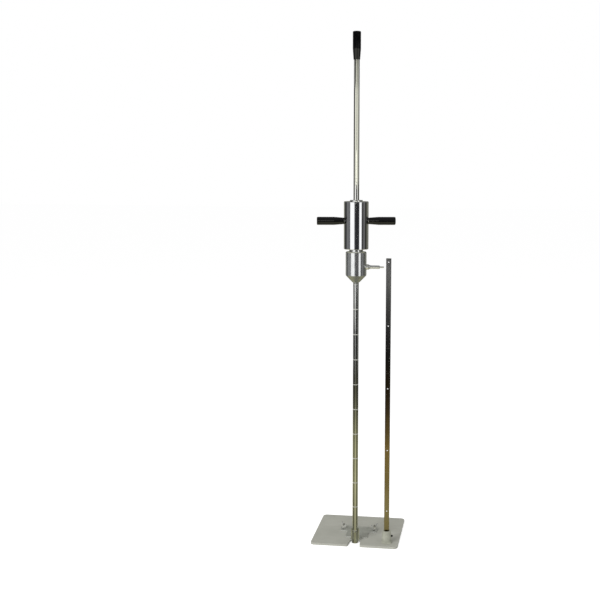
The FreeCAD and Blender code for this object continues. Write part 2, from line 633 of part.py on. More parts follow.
bush_bore = "(guide_dia / 2 + slide_fit)"
upper_bush = body("upper_bush")
turned(upper_bush, "flanged_bush", [
    (bush_bore, "-bush_length"), ("bush_dia / 2", "-bush_length"), ("bush_dia / 2", "0"),
    ("bush_flange_dia / 2", "0"), ("bush_flange_dia / 2", "bush_flange_height - bush_flange_break"),
    ("bush_flange_dia / 2 - bush_flange_break", "bush_flange_height"), (bush_bore, "bush_flange_height")])
place(upper_bush, back=ROD_Y, up=HAMMER_TOP)
lower_bush = body("lower_bush")
turned(lower_bush, "plain_bush", [
    (bush_bore, "0"), ("bush_dia / 2", "0"), ("bush_dia / 2", "bush_length"), (bush_bore, "bush_length")])
place(lower_bush, back=ROD_Y, up=HAMMER_FOOT)


def make_grip(label, **spot):
    """A moulded grip with its narrow root at the origin and its round end up."""
    grip = body(label)
    moulded = turned(grip, "moulding", [
        ("0", "0"), ("grip_root_dia / 2", "0"), ("grip_dia / 2", "grip_taper"),
        ("grip_dia / 2", "grip_length"), ("0", "grip_length")])
    soft_end = rounded(grip, "soft_end", moulded,
                       lambda edge: ring_at(edge, SIZES["grip_dia"] / 2, SIZES["grip_length"]), "grip_end_round")
    rounded(grip, "soft_root", soft_end,
            lambda edge: ring_at(edge, SIZES["grip_root_dia"] / 2, 0), "grip_root_round")
    drilled(grip, "insert_bore", "insert_dia + 2 * thread_gap", "insert_length + seat_gap")
    place(grip, **spot)


def make_insert(label, **spot):
    """The threaded metal insert moulded into a grip, with rings that key it."""
    insert = body(label)
    thread = "(handle_stud_dia / 2 + thread_gap)"
    turned(insert, "sleeve", [
        (thread, "0"), ("insert_dia / 2", "0"), ("insert_dia / 2", "insert_length"), (thread, "insert_length")])
    ring_one = ringed(insert, "key_ring", "insert_dia / 2", "insert_ring_width", "insert_ring_cut",
                      "insert_length / 4")
    repeated(insert, "key_rings", ring_one, "Z_Axis", "insert_length / 2", "3")
    place(insert, **spot)


# Handles: stud, collar, insert and grip on each side, and a grip on the guide rod
for side, turn in handle_turns:
    def spot_at(reach):
        return {"across": f"({reach}) * cos({turn})", "back": f"{ROD_Y} + ({reach}) * sin({turn})",
                "up": HANDLE_Z, "turn": turn, "tilt": "90"}
    handle_stud = body(f"handle_stud_{side}")
    stud_end = "(handle_collar_length + grip_stud_reach)"
    turned(handle_stud, "threaded_stud", [
        ("0", "-handle_stud_depth"), ("handle_stud_dia / 2 - stud_end_break", "-handle_stud_depth"),
        ("handle_stud_dia / 2", "stud_end_break - handle_stud_depth"), ("handle_stud_dia / 2", stud_end),
        ("0", stud_end)])
    place(handle_stud, **spot_at(HANDLE_SEAT))
    handle_collar = body(f"handle_collar_{side}")
    stud_hole = "(handle_stud_dia / 2 + thread_gap)"
    turned(handle_collar, "lock_collar", [
        (stud_hole, "0"), ("handle_collar_dia / 2", "0"), ("handle_collar_dia / 2", "handle_collar_length"),
        (stud_hole, "handle_collar_length")])
    place(handle_collar, **spot_at(HANDLE_SEAT))
    make_grip(f"grip_{side}", **spot_at(f"{HANDLE_SEAT} + handle_collar_length"))
    make_insert(f"grip_insert_{side}", **spot_at(f"{HANDLE_SEAT} + handle_collar_length"))
make_grip("grip_top", back=ROD_Y, up=GRIP_FOOT)
make_insert("grip_insert_top", back=ROD_Y, up=GRIP_FOOT)

doc.recompute()
for thing in doc.Objects:
    if "Invalid" in thing.State or "Error" in thing.State:
        raise RuntimeError(f"{thing.Label} failed: {thing.State}")
for piece in nodes:
    if piece.Shape.isNull() or not piece.Shape.isValid():
        raise RuntimeError(f"{piece.Label} has no valid shape")

os.makedirs("parts", exist_ok=True)
for piece in nodes:
    piece.Shape.exportStep(os.path.join("parts", f"{piece.Label}.step"))
    print(f"{piece.Label}: {len(piece.Shape.Solids)} solid, {piece.Shape.Volume / 1000:.2f} cm3")
print(len(nodes), "nodes")
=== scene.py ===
import math

import bmesh
import bpy
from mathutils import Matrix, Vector


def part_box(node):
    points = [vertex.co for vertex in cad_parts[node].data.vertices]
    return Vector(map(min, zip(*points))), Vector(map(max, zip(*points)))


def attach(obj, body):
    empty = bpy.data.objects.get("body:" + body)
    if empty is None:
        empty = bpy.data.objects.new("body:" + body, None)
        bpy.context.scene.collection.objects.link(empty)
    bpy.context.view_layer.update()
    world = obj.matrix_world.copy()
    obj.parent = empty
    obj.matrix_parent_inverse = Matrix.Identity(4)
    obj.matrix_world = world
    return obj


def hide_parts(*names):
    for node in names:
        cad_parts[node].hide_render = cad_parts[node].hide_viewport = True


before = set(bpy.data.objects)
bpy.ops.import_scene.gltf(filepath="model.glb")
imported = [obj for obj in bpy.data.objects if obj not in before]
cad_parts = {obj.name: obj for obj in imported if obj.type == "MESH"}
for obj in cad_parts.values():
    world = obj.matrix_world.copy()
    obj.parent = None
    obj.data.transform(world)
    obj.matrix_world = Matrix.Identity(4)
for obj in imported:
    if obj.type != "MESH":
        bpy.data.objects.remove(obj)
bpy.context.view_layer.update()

# Base plate. Sheet steel, cut with a notch that lets the rod line in from the front, its edges
# broken and then painted satin grey. Rods and boots have rubbed it. It lies flat on the ground.
PLATE_GREY = (0.372, 0.374, 0.328)
PLATE_PALE = (0.432, 0.433, 0.383)
PLATE_RUBBED = (0.47, 0.47, 0.43)
PLATE_BARE = (0.50, 0.50, 0.48)


def new_material(name, colour, metallic, roughness, **fixed):
    """A material on Blender's main shader. Its fixed numbers are set on the shader's own sockets."""
    material = bpy.data.materials.new(name)
    material.use_nodes = True
    shader = material.node_tree.nodes["Principled BSDF"]
    shader.inputs["Base Color"].default_value = (*colour, 1)
    shader.inputs["Metallic"].default_value = metallic
    shader.inputs["Roughness"].default_value = roughness
    for socket, value in fixed.items():
        shader.inputs[socket.replace("_", " ")].default_value = value
    return material, shader


def add(material, kind, **settings):
    """Adds one node to a material and sets what is named: a socket's value or the node's own setting."""
    node = material.node_tree.nodes.new(kind)
    for name, value in settings.items():
        label = name.replace("_", " ").title()
        if label in node.inputs:
            node.inputs[label].default_value = value
        else:
            setattr(node, name, value)
    return node


def wire(material, source, target):
    """Joins an output to a socket, or sets the socket where the source is a number or a colour."""
    if isinstance(source, bpy.types.NodeSocket):
        material.node_tree.links.new(source, target)
    elif isinstance(source, tuple):
        target.default_value = (*source, 1)
    else:
        target.default_value = source


def figure(material, operation, first, second=0.0):
    """One step of arithmetic on outputs or plain numbers."""
    step = add(material, "ShaderNodeMath", operation=operation)
    wire(material, first, step.inputs[0])
    wire(material, second, step.inputs[1])
    return step.outputs[0]


def reach_of(material, across, back):
    """How far a point is from an upright axis, from how far it is across and back of it."""
    return figure(material, "SQRT", figure(material, "ADD", figure(material, "POWER", across, 2.0),
                                           figure(material, "POWER", back, 2.0)))


def place_on(material, output="Object"):
    """Where on the piece a point is, in metres in the row frame, or which way its surface faces."""
    place = add(material, "ShaderNodeTexCoord")
    parts = add(material, "ShaderNodeSeparateXYZ")
    wire(material, place.outputs[output], parts.inputs[0])
    return parts.outputs


def noise_on(material, scale, detail=3.0, stretch=(1, 1, 1)):
    """Noise in the piece's own coordinates, drawn out along its axes by stretch."""
    place = add(material, "ShaderNodeTexCoord")
    spread = add(material, "ShaderNodeMapping")
    spread.inputs["Scale"].default_value = stretch
    noise = add(material, "ShaderNodeTexNoise", scale=scale, detail=detail)
    wire(material, place.outputs["Object"], spread.inputs["Vector"])
    wire(material, spread.outputs["Vector"], noise.inputs["Vector"])
    return noise.outputs["Fac"]


def range_of(material, source, low, high, to_low, to_high):
    spread = add(material, "ShaderNodeMapRange")
    for socket, value in zip(("From Min", "From Max", "To Min", "To Max"), (low, high, to_low, to_high)):
        spread.inputs[socket].default_value = value
    wire(material, source, spread.inputs["Value"])
    return spread.outputs["Result"]


def ramp_of(material, source, stops):
    """A colour ramp read at source, from (place, colour) stops."""
    ramp = add(material, "ShaderNodeValToRGB")
    elements = ramp.color_ramp.elements
    while len(elements) < len(stops):
        elements.new(0.5)
    for element, (where, colour) in zip(elements, stops):
        element.position = where
        element.color = (*colour, 1)
    wire(material, source, ramp.inputs["Fac"])
    return ramp.outputs["Color"]


def mixed(material, share, under, over):
    """The colour under with the colour over laid on it by share."""
    mix = add(material, "ShaderNodeMix", data_type="RGBA")
    wire(material, share, mix.inputs[0])
    wire(material, under, mix.inputs[6])
    wire(material, over, mix.inputs[7])
    return mix.outputs[2]


def bump_from(material, shader, source, distance, strength=1.0):
    bump = add(material, "ShaderNodeBump", distance=distance, strength=strength)
    wire(material, source, bump.inputs["Height"])
    wire(material, bump.outputs["Normal"], shader.inputs["Normal"])


def dress(material, *nodes):
    """Gives CAD pieces their finish."""
    for node in nodes:
        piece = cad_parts[node]
        piece.data.materials.clear()
        piece.data.materials.append(material)


plate_paint, shader = new_material("plate_paint", PLATE_GREY, 0.0, 0.4, IOR=1.46)
clouds = noise_on(plate_paint, 7.0, detail=7.0)
paint = ramp_of(plate_paint, clouds, [(0.32, PLATE_GREY), (0.68, PLATE_PALE)])
rubs = noise_on(plate_paint, 26.0, detail=5.0, stretch=(0.35, 2.4, 1))
rubbed = range_of(plate_paint, rubs, 0.60, 0.72, 0.0, 0.55)
paint = mixed(plate_paint, rubbed, paint, PLATE_RUBBED)
scratches = noise_on(plate_paint, 95.0, detail=2.0, stretch=(0.05, 1.6, 1))
scratched = range_of(plate_paint, scratches, 0.70, 0.74, 0.0, 0.5)
paint = mixed(plate_paint, scratched, paint, PLATE_BARE)
upward = place_on(plate_paint, "Normal")[2]
edge = figure(plate_paint, "COMPARE", upward, 0.707)
edge.node.inputs[2].default_value = 0.2
paint = mixed(plate_paint, figure(plate_paint, "MULTIPLY", edge, 0.45), paint, PLATE_BARE)
wire(plate_paint, paint, shader.inputs["Base Color"])
wire(plate_paint, range_of(plate_paint, rubs, 0.35, 0.7, 0.44, 0.32), shader.inputs["Roughness"])
bump_from(plate_paint, shader, noise_on(plate_paint, 700.0, detail=2.0), 0.00006, 0.6)
dress(plate_paint, "base_plate")

# Socket for the measuring bar. A casting, turned on its foot and in its bore, painted like the
# plate but lighter. It stands on the plate, held by one screw from below.
SOCKET_PALE = (0.405, 0.412, 0.340)
SOCKET_SHADE = (0.31, 0.316, 0.258)
# Dark colour for the bore: painted shade.
SOCKET_BORE_SHADE = (0.16, 0.155, 0.10)
BORE_RADIUS = 0.0109
BORE_FLOOR = 0.0205
socket_paint, shader = new_material("socket_paint", SOCKET_PALE, 0.0, 0.45, IOR=1.46)
blotches = noise_on(socket_paint, 55.0, detail=6.0)
paint = ramp_of(socket_paint, blotches, [(0.35, SOCKET_SHADE), (0.65, SOCKET_PALE)])
across, back, up = place_on(socket_paint)
low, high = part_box("bar_socket")
socket_middle = (low + high) / 2
# Painted shade: the bore's wall and floor are coloured dark, for the shade in the recess that takes the bar.
from_axis = reach_of(socket_paint, figure(socket_paint, "SUBTRACT", across, socket_middle.x),
                     figure(socket_paint, "SUBTRACT", back, socket_middle.y))
bore_shade_mask = figure(socket_paint, "MULTIPLY", figure(socket_paint, "LESS_THAN", from_axis, BORE_RADIUS),
                 figure(socket_paint, "GREATER_THAN", up, BORE_FLOOR - 0.001))
wire(socket_paint, mixed(socket_paint, bore_shade_mask, paint, SOCKET_BORE_SHADE), shader.inputs["Base Color"])
wire(socket_paint, range_of(socket_paint, blotches, 0.3, 0.7, 0.38, 0.55), shader.inputs["Roughness"])
bump_from(socket_paint, shader, noise_on(socket_paint, 420.0, detail=4.0), 0.00016, 0.7)
dress(socket_paint, "bar_socket")

# Countersunk screw that holds the socket, let into the plate's underside. Zinc plated, with the
# faint yellow and blue clouds of plating, as on every small fastener here.
ZINC = (0.72, 0.73, 0.72)
ZINC_WARM = (0.66, 0.65, 0.58)


def plated(name, colour, clouded, smooth, rough, cloud_scale=140.0, metallic=1.0):
    """Plated steel: clouds of colour, and a gloss that changes over the piece."""
    material, shader = new_material(name, colour, metallic, smooth)
    clouds = noise_on(material, cloud_scale, detail=5.0)
    wire(material, ramp_of(material, clouds, [(0.35, clouded), (0.62, colour)]), shader.inputs["Base Color"])
    wire(material, range_of(material, clouds, 0.3, 0.7, rough, smooth), shader.inputs["Roughness"])
    bump_from(material, shader, noise_on(material, 1500.0, detail=2.0), 0.00002, 0.5)
    return material


fastener_zinc = plated("fastener_zinc", ZINC, ZINC_WARM, 0.16, 0.30)
dress(fastener_zinc, "socket_fixing_screw")

# Two studs, welded upright on the plate behind the rod line. Threaded steel, zinc plated, cut
# with a real helical thread, and chamfered at the top.
STUD_PITCH = 0.00125
STUD_THREAD_DEPTH = 0.00068
STUD_CHAMFER = 0.0010
TURN_STEPS = 40
PITCH_STEPS = 8


def threaded_stud(build, centre, foot, top, radius):
    """Adds one stud with a helical thread to the mesh that build holds."""
    rows = []
    count = round((top - foot) / STUD_PITCH * PITCH_STEPS)
    for row in range(count + 1):
        height = foot + (top - foot) * row / count
        ring_of = []
        for step in range(TURN_STEPS):
            turn = step / TURN_STEPS
            phase = ((height - foot) / STUD_PITCH - turn) % 1.0
            depth = STUD_THREAD_DEPTH * (1 - abs(2 * phase - 1) ** 0.8)
            reach = min(radius - depth, radius - STUD_CHAMFER + (top - height))
            angle = 2 * math.pi * turn
            ring_of.append(build.verts.new((centre.x + reach * math.cos(angle), centre.y + reach * math.sin(angle),
                                            height)))
        rows.append(ring_of)
    for below, above in zip(rows, rows[1:]):
        for n in range(TURN_STEPS):
            m = (n + 1) % TURN_STEPS
            build.faces.new((below[n], below[m], above[m], above[n]))
    build.faces.new(rows[-1])
    build.faces.new(list(reversed(rows[0])))


def new_piece(name, build, material, body):
    """A Blender-made piece of the object, riding on one of its bodies."""
    mesh = bpy.data.meshes.new(name)
    bmesh.ops.recalc_face_normals(build, faces=build.faces)
    build.to_mesh(mesh)
    build.free()
    mesh.materials.append(material)
    piece = bpy.data.objects.new(name, mesh)
    bpy.context.collection.objects.link(piece)
    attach(piece, body)
    return piece


def smoothed(piece, sharp_degrees):
    """Smooth shading, but for edges that turn by more than an angle."""
    piece.data.shade_smooth()
    piece.data.set_sharp_from_angle(angle=math.radians(sharp_degrees))


low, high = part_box("clamp_studs")
stud_radius = (high.y - low.y) / 2
stud_y = (high.y + low.y) / 2
build = bmesh.new()
for stud_x in (low.x + stud_radius, high.x - stud_radius):
    threaded_stud(build, Vector((stud_x, stud_y, 0)), low.z, high.z, stud_radius)
studs = new_piece("threaded_studs", build, fastener_zinc, "base")
smoothed(studs, 50)
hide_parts("clamp_studs")

# Rod guide, the slotted plate. Sheet steel with a dull zinc coat, worn brighter round its slots
# and along its edges. It slides forward on the two studs until its nose meets the rod line.
GUIDE_DULL = (0.37, 0.38, 0.335)
GUIDE_PALE = (0.49, 0.50, 0.455)
GUIDE_WORN = (0.72, 0.73, 0.70)
guide_zinc, shader = new_material("guide_zinc", GUIDE_DULL, 0.45, 0.42)
spangle = add(guide_zinc, "ShaderNodeTexVoronoi", scale=260.0)
place = add(guide_zinc, "ShaderNodeTexCoord")
wire(guide_zinc, place.outputs["Object"], spangle.inputs["Vector"])
grains = add(guide_zinc, "ShaderNodeSeparateColor")
wire(guide_zinc, spangle.outputs["Color"], grains.inputs[0])
clouds = noise_on(guide_zinc, 40.0, detail=6.0)
grey = figure(guide_zinc, "ADD", figure(guide_zinc, "MULTIPLY", grains.outputs[0], 0.25), clouds)
zinc = ramp_of(guide_zinc, grey, [(0.42, GUIDE_DULL), (0.85, GUIDE_PALE)])
level = place_on(guide_zinc, "Normal")[2]
side_face = range_of(guide_zinc, figure(guide_zinc, "ABSOLUTE", level), 0.9, 0.6, 0.0, 0.7)
wire(guide_zinc, mixed(guide_zinc, side_face, zinc, GUIDE_WORN), shader.inputs["Base Color"])
wire(guide_zinc, range_of(guide_zinc, grey, 0.4, 0.9, 0.48, 0.30), shader.inputs["Roughness"])
bump_from(guide_zinc, shader, noise_on(guide_zinc, 500.0, detail=3.0), 0.00005, 0.6)
dress(guide_zinc, "guide_plate")

# Rod guide, the half-round saddle that steadies the rod line from behind. Bent from strip, welded
# on the plate's nose, then plated with it.
saddle_zinc = plated("saddle_zinc", (0.66, 0.67, 0.61), (0.50, 0.51, 0.44), 0.20, 0.36, 90.0)
dress(saddle_zinc, "rod_saddle")
BEAD_RADIUS = 0.0013
BEAD_STEPS = 96
BEAD_SIDES = 8
BEAD_START = 8
BEAD_SWEEP = 164
BEAD_RIPPLES = 30
BEAD_RIPPLE_DEPTH = 0.14
BEAD_END = 0.35
BEAD_END_SLOPE = 8
low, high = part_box("rod_saddle")
saddle_radius = (high.x - low.x) / 2
rod_axis = Vector(((low.x + high.x) / 2, low.y, 0.0))
build = bmesh.new()
rings = []
for step in range(BEAD_STEPS + 1):
    share = step / BEAD_STEPS
    angle = math.radians(BEAD_START + BEAD_SWEEP * share)
    ripple = abs(math.sin(BEAD_RIPPLES * math.pi * share))
    swell = BEAD_RADIUS * (1 - BEAD_RIPPLE_DEPTH * (1 - ripple))
    swell *= min(1.0, BEAD_END + BEAD_END_SLOPE * min(share, 1 - share))
    outward = Vector((math.cos(angle), math.sin(angle), 0))
    middle = rod_axis + outward * (saddle_radius + 0.3 * BEAD_RADIUS)
    middle.z = low.z + 0.25 * BEAD_RADIUS
    rings.append([build.verts.new(middle + outward * swell * math.cos(turn) + Vector((0, 0, swell * math.sin(turn))))
                  for turn in (2 * math.pi * n / BEAD_SIDES for n in range(BEAD_SIDES))])
for near, far in zip(rings, rings[1:]):
    for n in range(BEAD_SIDES):
        m = (n + 1) % BEAD_SIDES
        build.faces.new((near[n], near[m], far[m], far[n]))
build.faces.new(rings[0])
build.faces.new(rings[-1])
bead = new_piece("saddle_weld", build, guide_zinc, "rod_guide")
smoothed(bead, 60)

# Washers and wing nuts that clamp the rod guide. Pressed and forged steel, bright zinc, the nuts
# with the soft edges of a forging.
NUT_EDGE = 0.0007
WASHER_EDGE = 0.0003
nut_zinc = plated("nut_zinc", (0.92, 0.93, 0.92), (0.80, 0.80, 0.77), 0.10, 0.20, 120.0, 0.85)
dress(nut_zinc, "clamp_washers", "wing_nut_left", "wing_nut_right")
for node in ("wing_nut_left", "wing_nut_right", "clamp_washers"):
    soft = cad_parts[node].modifiers.new("forged_edges", "BEVEL")
    soft.width = WASHER_EDGE if node == "clamp_washers" else NUT_EDGE
    soft.segments = 2
    soft.limit_method = "ANGLE"
    soft.angle_limit = math.radians(40)

# Cone holder, the thick flat foot of the rod line, and the studs inside its joints. Turned steel,
# the holder tinted olive: partly ground stain, partly a painted reflection of the warm floor. It
# screws on the sounding rod, and a cone's spigot goes in its foot.
PLAIN_STEEL = (0.46, 0.46, 0.45)


def turned_steel(name, colour, stained, smooth, rough, line_scale=2600.0):
    """Turned steel: fine lines round the piece, and stains that dull it."""
    material, shader = new_material(name, colour, 1.0, smooth)
    lines = noise_on(material, line_scale, detail=2.0, stretch=(0.015, 0.015, 1))
    stains = noise_on(material, 60.0, detail=6.0, stretch=(1, 1, 0.6))
    wire(material, ramp_of(material, stains, [(0.38, stained), (0.62, colour)]), shader.inputs["Base Color"])
    gloss = figure(material, "ADD", figure(material, "MULTIPLY", stains, 0.7), figure(material, "MULTIPLY", lines, 0.3))
    wire(material, range_of(material, gloss, 0.35, 0.65, rough, smooth), shader.inputs["Roughness"])
    bump_from(material, shader, lines, 0.00001, 0.5)
    return material


plain_steel = turned_steel("plain_steel", PLAIN_STEEL, (0.34, 0.33, 0.30), 0.26, 0.40)
dress(plain_steel, "holder_stud", "rod_stud")
# The holder's olive colour is partly ground stain and partly a painted reflection of the warm floor.
holder_steel = turned_steel("holder_steel", (0.52, 0.53, 0.43), (0.40, 0.40, 0.31), 0.26, 0.38)
dress(holder_steel, "cone_holder")

# Sounding rod. Drawn steel, ground smooth and grooved every 100 mm to count its way down. Its
# lower end is tinted olive: partly ground stain, partly a painted reflection of the warm floor.
# Pale dust has dried in its grooves.
ROD_BRIGHT = (0.64, 0.65, 0.63)
ROD_STAIN_AND_REFLECTION = (0.56, 0.56, 0.46)
RING_STEP = 0.1
RING_HALF = 0.0016
RING_DUST = (0.44, 0.44, 0.40)
STAIN_AND_REFLECTION_BELOW = 0.45
BRIGHT_ABOVE = 0.95
rod_steel, shader = new_material("rod_steel", ROD_BRIGHT, 1.0, 0.2)
up = place_on(rod_steel)[2]
drawn = noise_on(rod_steel, 1400.0, detail=3.0, stretch=(1, 1, 0.01))
stains = noise_on(rod_steel, 34.0, detail=7.0, stretch=(1, 1, 0.35))
# Painted reflection of the warm floor, mixed with ground stain: the colour turns olive towards the foot, by height.
rise = figure(rod_steel, "ADD", up, figure(rod_steel, "MULTIPLY", stains, 0.25))
steel = ramp_of(rod_steel, range_of(rod_steel, rise, STAIN_AND_REFLECTION_BELOW, BRIGHT_ABOVE, 0.0, 1.0),
                [(0.0, ROD_STAIN_AND_REFLECTION), (1.0, ROD_BRIGHT)])
steel = mixed(rod_steel, range_of(rod_steel, stains, 0.58, 0.75, 0.0, 0.45), steel, (0.34, 0.335, 0.28))
low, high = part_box("sounding_rod")
in_steps = figure(rod_steel, "DIVIDE", figure(rod_steel, "SUBTRACT", up, low.z), RING_STEP)
off_ring = figure(rod_steel, "PINGPONG", in_steps, 0.5)
in_groove = figure(rod_steel, "LESS_THAN", off_ring, RING_HALF / RING_STEP)
wire(rod_steel, mixed(rod_steel, in_groove, steel, RING_DUST), shader.inputs["Base Color"])
wire(rod_steel, figure(rod_steel, "SUBTRACT", 1.0, figure(rod_steel, "MULTIPLY", in_groove, 0.9)),
     shader.inputs["Metallic"])
gloss = figure(rod_steel, "ADD", figure(rod_steel, "MULTIPLY", stains, 0.6), figure(rod_steel, "MULTIPLY", drawn, 0.4))
wire(rod_steel, range_of(rod_steel, gloss, 0.35, 0.65, 0.09, 0.18), shader.inputs["Roughness"])
bump_from(rod_steel, shader, drawn, 0.000004, 0.5)
dress(rod_steel, "sounding_rod")

# Anvil. Turned from the solid and satin chromed on its body and strike face. The cone below is
# left as turned and is darker. It screws on the rod and takes the guide rod in its top.
ANVIL_SATIN = (0.74, 0.76, 0.76)
ANVIL_TURNED = (0.36, 0.375, 0.34)
CONE_HEIGHT = 0.0335
CONE_EDGE = 0.0004
anvil_chrome, shader = new_material("anvil_chrome", ANVIL_SATIN, 0.92, 0.16)
low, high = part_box("anvil")
body_foot = low.z + CONE_HEIGHT
up = place_on(anvil_chrome)[2]
lines = noise_on(anvil_chrome, 2200.0, detail=2.0, stretch=(0.015, 0.015, 1))
smears = noise_on(anvil_chrome, 30.0, detail=5.0)
on_cone = range_of(anvil_chrome, up, body_foot - CONE_EDGE, body_foot + CONE_EDGE, 1.0, 0.0)
satin = ramp_of(anvil_chrome, smears, [(0.36, (0.68, 0.70, 0.70)), (0.6, ANVIL_SATIN)])
wire(anvil_chrome, mixed(anvil_chrome, on_cone, satin, ANVIL_TURNED), shader.inputs["Base Color"])
rough = range_of(anvil_chrome, figure(anvil_chrome, "ADD", lines, smears), 0.8, 1.2, 0.09, 0.15)
rough = figure(anvil_chrome, "ADD", rough, figure(anvil_chrome, "MULTIPLY", on_cone, 0.12))
wire(anvil_chrome, rough, shader.inputs["Roughness"])
bump_from(anvil_chrome, shader, lines, 0.000005, 0.5)
dress(anvil_chrome, "anvil")

# Pointer and its lock collar. Turned steel, chromed, screwed into a flat on the anvil's side so
# that the tip stands close to the measuring bar and shows how far the rod has gone down.
pointer_chrome = plated("pointer_chrome", (0.86, 0.87, 0.86), (0.76, 0.77, 0.76), 0.08, 0.15, 80.0, 0.95)
dress(pointer_chrome, "pointer", "pointer_collar")

# Guide rod. Ground and chromed bar that the hammer runs on, with two rings that mark the drop.
# It screws into the anvil.
guide_chrome, shader = new_material("guide_chrome", (0.80, 0.80, 0.77), 1.0, 0.1)
lines = noise_on(guide_chrome, 1800.0, detail=2.0, stretch=(0.02, 0.02, 1))
runs = noise_on(guide_chrome, 120.0, detail=4.0, stretch=(1, 1, 0.03))
wire(guide_chrome, ramp_of(guide_chrome, runs, [(0.35, (0.72, 0.72, 0.69)), (0.62, (0.81, 0.81, 0.78))]),
     shader.inputs["Base Color"])
gloss = figure(guide_chrome, "ADD", lines, runs)
wire(guide_chrome, range_of(guide_chrome, gloss, 0.8, 1.2, 0.045, 0.10), shader.inputs["Roughness"])
bump_from(guide_chrome, shader, runs, 0.000006, 0.4)
dress(guide_chrome, "guide_rod")

# Drop hammer: the weight and its flanged upper bush, turned and polished bright before chroming,
# and the plain lower bush. The bushes are pressed in and run on the guide rod.
bright_chrome, shader = new_material("bright_chrome", (0.81, 0.82, 0.83), 1.0, 0.06)
polish = noise_on(bright_chrome, 2400.0, detail=2.0, stretch=(0.012, 0.012, 1))
wiped = noise_on(bright_chrome, 24.0, detail=5.0, stretch=(1, 1, 0.5))
wire(bright_chrome, ramp_of(bright_chrome, wiped, [(0.35, (0.77, 0.78, 0.79)), (0.6, (0.82, 0.83, 0.84))]),
     shader.inputs["Base Color"])
gloss = figure(bright_chrome, "ADD", polish, wiped)
wire(bright_chrome, range_of(bright_chrome, gloss, 0.8, 1.2, 0.045, 0.095), shader.inputs["Roughness"])
bump_from(bright_chrome, shader, polish, 0.000004, 0.5)
dress(bright_chrome, "hammer_weight", "upper_bush")
dress(plain_steel, "lower_bush")

# Handles: a threaded stud and a thin lock collar on each side of the hammer, and the grips, which
# are moulded in glossy black plastic round a brass insert. The same grip tops the guide rod.
GRIP_BLACK = (0.0016, 0.0016, 0.0018)
dress(plain_steel, "handle_stud_left", "handle_stud_right")
collar_zinc = plated("collar_zinc", (0.85, 0.86, 0.85), (0.74, 0.74, 0.70), 0.14, 0.24, 160.0, 0.6)
dress(collar_zinc, "handle_collar_left", "handle_collar_right")
insert_brass = plated("insert_brass", (0.72, 0.55, 0.27), (0.52, 0.39, 0.18), 0.22, 0.36, 90.0)
dress(insert_brass, "grip_insert_left", "grip_insert_right", "grip_insert_top")
grip_plastic, shader = new_material("grip_black", GRIP_BLACK, 0.0, 0.09, IOR=1.5)
handled = noise_on(grip_plastic, 45.0, detail=6.0)
wire(grip_plastic, ramp_of(grip_plastic, handled, [(0.4, GRIP_BLACK), (0.75, (0.004, 0.004, 0.0043))]),
     shader.inputs["Base Color"])
wire(grip_plastic, range_of(grip_plastic, handled, 0.35, 0.75, 0.06, 0.16), shader.inputs["Roughness"])
bump_from(grip_plastic, shader, noise_on(grip_plastic, 160.0, detail=2.0), 0.00002, 0.35)
dress(grip_plastic, "grip_left", "grip_right", "grip_top")

# Measuring bar. Flat steel bar whose colour is a painted reflection, by height: grey at the top,
# near black in the middle, olive and brown towards the foot, for the room and warm floor it
# mirrors. Fine lines every 10 mm are cut in its front, longer every 50 and 100 mm.
BAR_LINE = (0.32, 0.31, 0.28)
BAR_REFLECTION_TONES = [(0.0, (0.32, 0.27, 0.145)), (0.12, (0.30, 0.25, 0.13)), (0.22, (0.215, 0.163, 0.078)),
            (0.36, (0.27, 0.19, 0.073)), (0.47, (0.09, 0.060, 0.034)), (0.55, (0.045, 0.032, 0.018)),
            (0.66, (0.022, 0.021, 0.020)), (0.76, (0.046, 0.046, 0.046)), (0.84, (0.085, 0.085, 0.083)),
            (0.90, (0.18, 0.18, 0.175)), (0.96, (0.28, 0.28, 0.275))]
bar_steel, shader = new_material("bar_steel", BAR_REFLECTION_TONES[0][1], 1.0, 0.2)
low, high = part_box("measuring_bar")
across, back, up = place_on(bar_steel)
patches = noise_on(bar_steel, 30.0, detail=7.0, stretch=(1, 1, 0.3))
height = figure(bar_steel, "ADD", up, range_of(bar_steel, patches, 0.3, 0.7, -0.03, 0.03))
# Painted reflection, read by height up the bar and made a little uneven by the patches.
painted_reflection = ramp_of(bar_steel, range_of(bar_steel, height, 0.0, 1.16, 0.0, 1.0), BAR_REFLECTION_TONES)


def lines_every(step, reach):
    """Where the front of the bar has a line at each step, from its right edge in by reach."""
    near = figure(bar_steel, "PINGPONG", figure(bar_steel, "DIVIDE", up, step), 0.5)
    line = figure(bar_steel, "LESS_THAN", near, 0.00025 / step)
    return figure(bar_steel, "MULTIPLY", line, figure(bar_steel, "GREATER_THAN", across, high.x - reach))


scale_lines = figure(bar_steel, "MAXIMUM", lines_every(0.01, 0.006), figure(
    bar_steel, "MAXIMUM", lines_every(0.05, 0.010), lines_every(0.1, 0.016)))
on_front = figure(bar_steel, "LESS_THAN", back, low.y + 0.0002)
scale_lines = figure(bar_steel, "MULTIPLY", scale_lines, on_front)
wire(bar_steel, mixed(bar_steel, scale_lines, painted_reflection, BAR_LINE), shader.inputs["Base Color"])
wire(bar_steel, range_of(bar_steel, patches, 0.3, 0.7, 0.16, 0.3), shader.inputs["Roughness"])
bump_from(bar_steel, shader, noise_on(bar_steel, 900.0, detail=3.0, stretch=(1, 1, 0.05)), 0.00001, 0.6)
dress(bar_steel, "measuring_bar")

# Clamp screw in the socket's side, a cap screw in black oxide that pinches the bar.
black_steel, shader = new_material("black_steel", (0.012, 0.012, 0.012), 0.3, 0.32)
grease = noise_on(black_steel, 300.0, detail=4.0)
wire(black_steel, ramp_of(black_steel, grease, [(0.4, (0.008, 0.008, 0.008)), (0.7, (0.02, 0.02, 0.019))]),
     shader.inputs["Base Color"])
wire(black_steel, range_of(black_steel, grease, 0.3, 0.7, 0.26, 0.42), shader.inputs["Roughness"])
dress(black_steel, "bar_clamp_screw")

